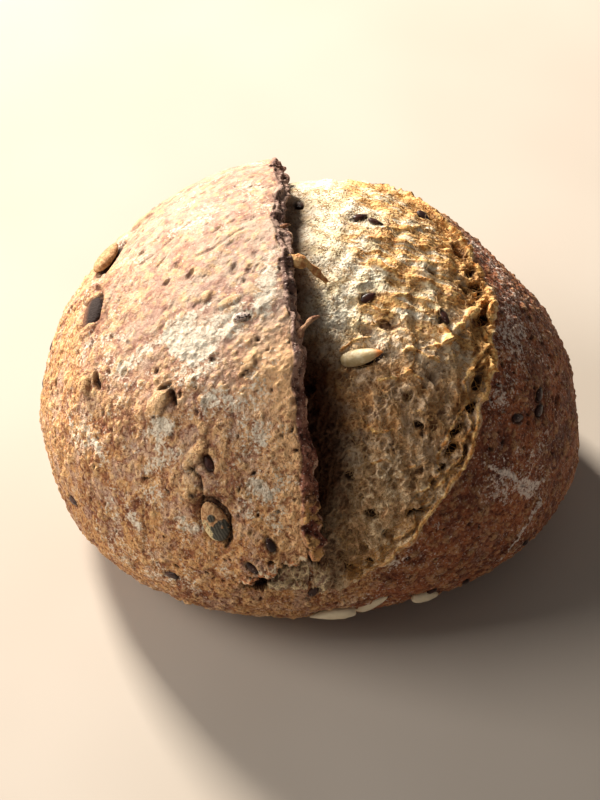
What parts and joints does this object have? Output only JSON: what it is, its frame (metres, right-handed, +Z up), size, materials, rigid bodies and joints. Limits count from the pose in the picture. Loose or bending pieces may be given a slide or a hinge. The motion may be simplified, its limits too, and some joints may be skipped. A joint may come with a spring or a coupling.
{
  "type": "seeded spelt sourdough loaf",
  "caption": "Small round spelt sourdough loaf with one deep slash: a raised flap of crust, a torn seeded crumb and a flat base to rest on.",
  "frame": {"origin": "centre of the loaf's box, on the plane of the flat base it rests on", "axes": "+Z up; +X from the lifted flap across the slash to the right-hand crust; the slash runs along Y, its torn corner at -Y"},
  "size_m": [0.1662, 0.15, 0.1086],
  "materials": {
    "crust": "baked, dull, grainy, dusted with flour",
    "crumb": "open porous crumb, toasted on its ridges",
    "pumpkin_seed": "roasted, smooth, faintly glossy",
    "sunflower_seed": "pale, smooth, lightly toasted",
    "linseed": "dark brown, smooth, faintly glossy"
  },
  "bodies": {
    "root": {"loaf": "crust"}
  },
  "joints": []
}
